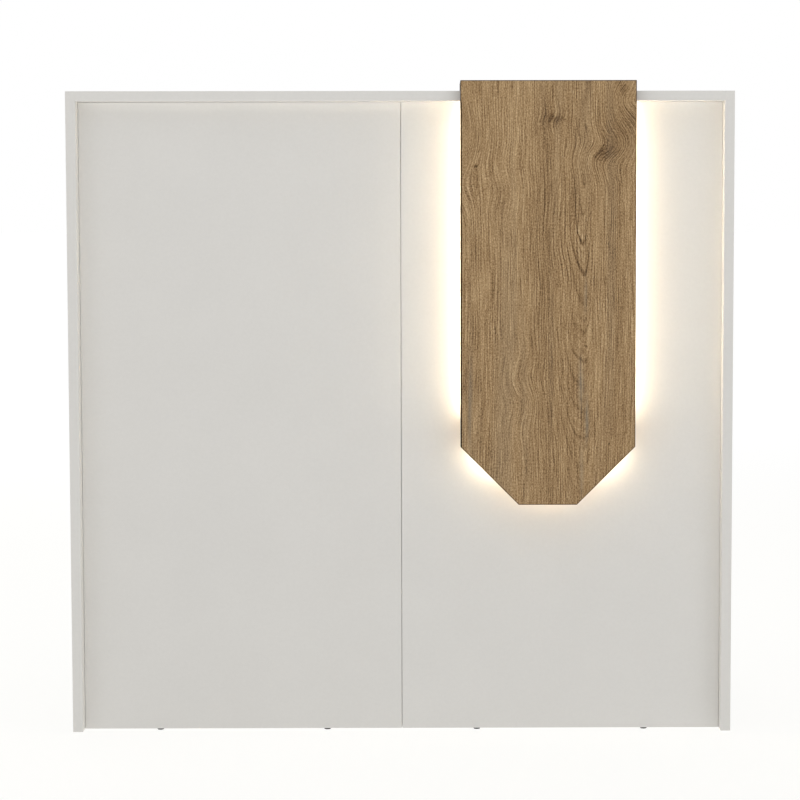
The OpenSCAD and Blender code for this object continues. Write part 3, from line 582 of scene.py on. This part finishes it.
# Boards and battens, whose edges are all rounded alike
BOARDS = (
    "side_panel_left", "side_panel_right", "ledge_top", "front_panel_left", "front_panel_right", "worktop",
    "centre_partition", "hutch_divider", "hutch_shelf_left", "hutch_shelf_right", "pedestal_floor",
    "pedestal_deck", "plinth_rail", "cupboard_shelf", "cupboard_door", "keyboard_tray",
    "upper_drawer_front", "lower_drawer_front", "upper_drawer_box", "lower_drawer_box",
    "oak_front_panel", "oak_top_slab", "batten_left", "batten_right", "battens_lower",
)
# Radius of a board's edges, in metres
BOARD_EDGE = 0.0005

# Radius of the rounded edges on the moulded and metal parts, in metres
FITTINGS = {
    "cover_caps": 0.0003, "grommet_ring": 0.0005, "grommet_cap": 0.0004, "led_controller": 0.0008,
    "led_button": 0.0003, "lead_clips": 0.0002, "door_magnet": 0.0004, "door_strike_plate": 0.0002,
    "lock_cylinder": 0.0003, "lock_cam": 0.0002, "lock_strike": 0.0003, "shelf_pins": 0.0002,
    "door_pivot_pins": 0.0002, "pivot_bushes": 0.0002, "led_channels": 0.00012,
    "upper_runner_outer": 0.00015, "upper_runner_middle": 0.00015, "upper_runner_inner": 0.00015,
    "lower_runner_outer": 0.00015, "lower_runner_middle": 0.00015, "lower_runner_inner": 0.00015,
    "tray_runner_outer": 0.00015, "tray_runner_inner": 0.00015,
}

dress()
for board in BOARDS:
    soften(board, BOARD_EDGE)
for fitting, radius in FITTINGS.items():
    soften(fitting, radius)


def turned(name, profile, spots, slot, material, segments=40):
    """One mesh of bodies turned from a profile of (radius, height) points, standing at several spots."""
    points = []
    faces = []
    for spot_x, spot_y in spots:
        start = len(points)
        for radius, height in profile:
            for k in range(segments):
                angle = 2 * math.pi * k / segments
                points.append((spot_x + radius * math.cos(angle), spot_y + radius * math.sin(angle), height))
        for ring in range(len(profile) - 1):
            for k in range(segments):
                a = start + ring * segments + k
                b = start + ring * segments + (k + 1) % segments
                faces.append((a, b, b + segments, a + segments))
        faces.append(tuple(start + k for k in reversed(range(segments))))
        faces.append(tuple(start + (len(profile) - 1) * segments + k for k in range(segments)))
    mesh = bpy.data.meshes.new(name)
    mesh.from_pydata(points, [], faces)
    mesh.shade_smooth()
    mesh.materials.append(materials[material])
    item = bpy.data.objects.new(name, mesh)
    bpy.context.scene.collection.objects.link(item)
    split = item.modifiers.new("shade", "EDGE_SPLIT")
    split.split_angle = SMOOTH_BELOW
    return item


def glide_spots():
    """Where the nail glides stand: under both front panels, the sides, the partition and the plinth rail."""
    spots = []
    for name in ("front_panel_left", "front_panel_right"):
        low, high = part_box(name)
        middle = (low.x + high.x) / 2
        in_board = low.y + BOARD / 2
        spots += [(middle - GLIDE_FROM_MIDDLE, in_board), (middle + GLIDE_FROM_MIDDLE, in_board)]
    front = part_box("front_panel_left")[0].y
    back = side_high.y
    for name in ("side_panel_left", "centre_partition", "side_panel_right"):
        low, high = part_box(name)
        middle = (low.x + high.x) / 2
        spots += [(middle, front + GLIDE_FROM_END), (middle, back - GLIDE_FROM_END)]
    low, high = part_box("plinth_rail")
    spots.append(((low.x + high.x) / 2, (low.y + high.y) / 2))
    return spots


# Nail glides: a moulded dome with a countersunk nail, as (radius, height) points from the floor up
GLIDE_FROM_MIDDLE = 0.1535
GLIDE_FROM_END = 0.060
GLIDE_PROFILE = (
    (0.0021, 0.0012), (0.0022, 0.0002), (0.0026, 0.0), (0.0048, 0.0), (0.0056, 0.0002), (0.0059, 0.0006),
    (0.0060, 0.0011), (0.0060, 0.0027), (0.0059, 0.0029), (0.0057, 0.0030),
)
NAIL_PROFILE = (
    (0.0012, 0.0007), (0.0019, 0.0009), (0.0021, 0.0013), (0.0010, 0.0024), (0.0010, 0.0138),
    (0.0002, 0.0150),
)
materials["glide_plastic"] = plastic("black_glide_plastic", "#0b0b0b", "#131313", 0.6, 1100)
domes = turned("glide_domes", GLIDE_PROFILE, glide_spots(), "dark_plastic", "glide_plastic")
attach(domes, "root")
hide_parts("glides")
nails = turned("glide_nails", NAIL_PROFILE, glide_spots(), "zinc_steel", "zinc_steel", 20)
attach(nails, "root")

# Key: seen flat, from the tip of its blade along the blade's length and then across it
KEY_BLADE = 0.023
KEY_HALF = 0.0035
KEY_BOW = 0.009
KEY_HOLE = 0.003
# Radius of the key's eased edges
KEY_EDGE = 0.00025
# The slanted tip, from its upper corner down to the blade's lower side
KEY_TIP = ((0.0, 0.0005), (0.0, -0.0008), (0.0016, -KEY_HALF))
# Where the blade's upper side starts, and how far before the bow's edge both sides end
KEY_TIP_BACK = 0.0028
KEY_SHOULDER = 0.0035
# Bitting cuts: how far from the tip and how deep, and half the width of a cut's mouth and of its root
KEY_CUTS = ((0.0030, 0.0008), (0.0055, 0.0016), (0.0080, 0.0004), (0.0105, 0.0013), (0.0130, 0.0009))
CUT_MOUTH = 0.0009
CUT_ROOT = 0.0003
# Half of the bow's arc, and the straight steps in which the bow and the hole are drawn
BOW_HALF_TURN = math.radians(152)
BOW_STEPS = 40
HOLE_STEPS = 28


def key_outline():
    """Blade with a slanted tip and bitted lower edge, and a round bow that is flat beside the blade."""
    outline = list(KEY_TIP)
    for at, deep in KEY_CUTS:
        outline += [(at - CUT_MOUTH, -KEY_HALF), (at - CUT_ROOT, -KEY_HALF + deep)]
        outline += [(at + CUT_ROOT, -KEY_HALF + deep), (at + CUT_MOUTH, -KEY_HALF)]
    outline.append((KEY_BLADE - KEY_SHOULDER, -KEY_HALF))
    centre = KEY_BLADE + KEY_BOW
    for k in range(BOW_STEPS + 1):
        angle = -BOW_HALF_TURN + 2 * BOW_HALF_TURN * k / BOW_STEPS
        outline.append((centre + KEY_BOW * math.cos(angle), KEY_BOW * math.sin(angle)))
    outline += [(KEY_BLADE - KEY_SHOULDER, KEY_HALF), (KEY_TIP_BACK, KEY_HALF)]
    return outline


def key():
    """A flat stamped key in the lock, with eased edges and a hole for a key ring."""
    low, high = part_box("lock_key")
    data = bpy.data.curves.new("cut_key", "CURVE")
    data.dimensions = "2D"
    data.fill_mode = "BOTH"
    data.extrude = (high.x - low.x) / 2 - KEY_EDGE
    data.bevel_depth = KEY_EDGE
    data.bevel_resolution = 2
    data.offset = -KEY_EDGE
    centre = KEY_BLADE + KEY_BOW + KEY_HOLE
    hole = [(centre + KEY_HOLE * math.cos(a), KEY_HOLE * math.sin(a))
            for a in (2 * math.pi * k / HOLE_STEPS for k in range(HOLE_STEPS))]
    for loop in (key_outline(), hole):
        spline = data.splines.new("POLY")
        spline.points.add(len(loop) - 1)
        spline.use_cyclic_u = True
        for point, (u, v) in zip(spline.points, loop):
            point.co = (u, v, 0.0, 1.0)
    data.materials.append(materials["lock_chrome"])
    item = bpy.data.objects.new("cut_key", data)
    bpy.context.scene.collection.objects.link(item)
    # The outline's length runs along Y, its width up Z, and its thickness along X
    item.matrix_world = Matrix(((0, 0, 1, (low.x + high.x) / 2), (1, 0, 0, low.y),
                                (0, 1, 0, (low.z + high.z) / 2), (0, 0, 0, 1)))
    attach(item, "lock")
    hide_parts("lock_key")


key()


def floor():
    """A pale light-table floor that reaches past every view and fades into the white sky."""
    mesh = bpy.data.meshes.new("studio_floor")
    corners = [(FLOOR_REACH * x, FLOOR_REACH * y, 0) for x, y in ((-1, -1), (1, -1), (1, 1), (-1, 1))]
    mesh.from_pydata(corners, [], [(0, 1, 2, 3)])
    item = bpy.data.objects.new("studio_floor", mesh)
    bpy.context.scene.collection.objects.link(item)
    p = Paint("studio_floor")
    away = p.node("ShaderNodeVectorMath", operation="LENGTH")
    p.feed(away.inputs[0], p.place)
    far = p.fit(away.outputs["Value"], *FLOOR_FADE, 0.0, 1.0, smooth=True)
    grain = p.noise(p.place, 3, 3, 0.5)
    matt = p.mix(p.fit(grain, 0.3, 0.7, 0.0, 0.15), tone(FLOOR_TONES[0]), tone(FLOOR_TONES[1]))
    colour = p.mix(far, matt, (0.0, 0.0, 0.0, 1.0))
    near_glow = (FLOOR_GLOW, FLOOR_GLOW, FLOOR_GLOW * FLOOR_GLOW_BLUE, 1.0)
    glow = p.mix(far, near_glow, (FLOOR_GLOW_FAR,) * 3 + (1.0,))
    mesh.materials.append(p.finish(colour=colour, rough=0.9, specular=0.1, glow=glow, glow_strength=1.0))


def sky():
    """A white surround for the camera, and a weaker one for light, so that soft boxes shape the object."""
    world = bpy.data.worlds.new("studio")
    bpy.context.scene.world = world
    world.use_nodes = True
    tree = world.node_tree
    ground = tree.nodes["Background"]
    seen = tree.nodes.new("ShaderNodeLightPath")
    level = tree.nodes.new("ShaderNodeMapRange")
    level.inputs["To Min"].default_value = SKY_LIGHT
    level.inputs["To Max"].default_value = SKY_WHITE
    tree.links.new(seen.outputs["Is Camera Ray"], level.inputs["Value"])
    tree.links.new(level.outputs["Result"], ground.inputs["Strength"])
    ground.inputs["Color"].default_value = (1.0, 1.0, 1.0, 1.0)


def lamp(name, at, aim, size, power, colour):
    """A soft box that lights the object and that the camera doesn't see."""
    light = bpy.data.lights.new(name, "AREA")
    light.shape = "RECTANGLE"
    light.size, light.size_y = size
    light.energy = power
    light.color = colour
    item = bpy.data.objects.new(name, light)
    item.location = at
    item.rotation_euler = (Vector(aim) - Vector(at)).to_track_quat("-Z", "Y").to_euler()
    item.visible_camera = False
    bpy.context.scene.collection.objects.link(item)


def camera():
    """The customer's side from waist height, with a slight lens shift that frames the counter."""
    pitch, yaw, roll = (math.radians(angle) for angle in (PITCH_DOWN, YAW, ROLL))
    level = Vector((math.sin(yaw), math.cos(yaw), 0))
    right = Vector((math.cos(yaw), -math.sin(yaw), 0))
    up_z = Vector((0, 0, 1))
    ahead = math.cos(pitch) * level - math.sin(pitch) * up_z
    above = math.sin(pitch) * level + math.cos(pitch) * up_z
    right_rolled = math.cos(roll) * right + math.sin(roll) * above
    above_rolled = math.cos(roll) * above - math.sin(roll) * right
    data = bpy.data.cameras.new("view")
    data.lens = LENS_MM
    data.sensor_width = SENSOR_MM
    data.shift_x = SHIFT_X
    data.clip_end = CLIP_END
    item = bpy.data.objects.new("view", data)
    turn = Matrix((right_rolled, above_rolled, -ahead)).transposed()
    item.matrix_world = Matrix.Translation((EYE_X, side_low.y - EYE_AHEAD, EYE_HEIGHT)) @ turn.to_4x4()
    bpy.context.scene.collection.objects.link(item)
    bpy.context.scene.camera = item


floor()
sky()
for soft_box in SOFT_BOXES:
    lamp(*soft_box)
camera()
bpy.context.scene.view_settings.view_transform = "Standard"
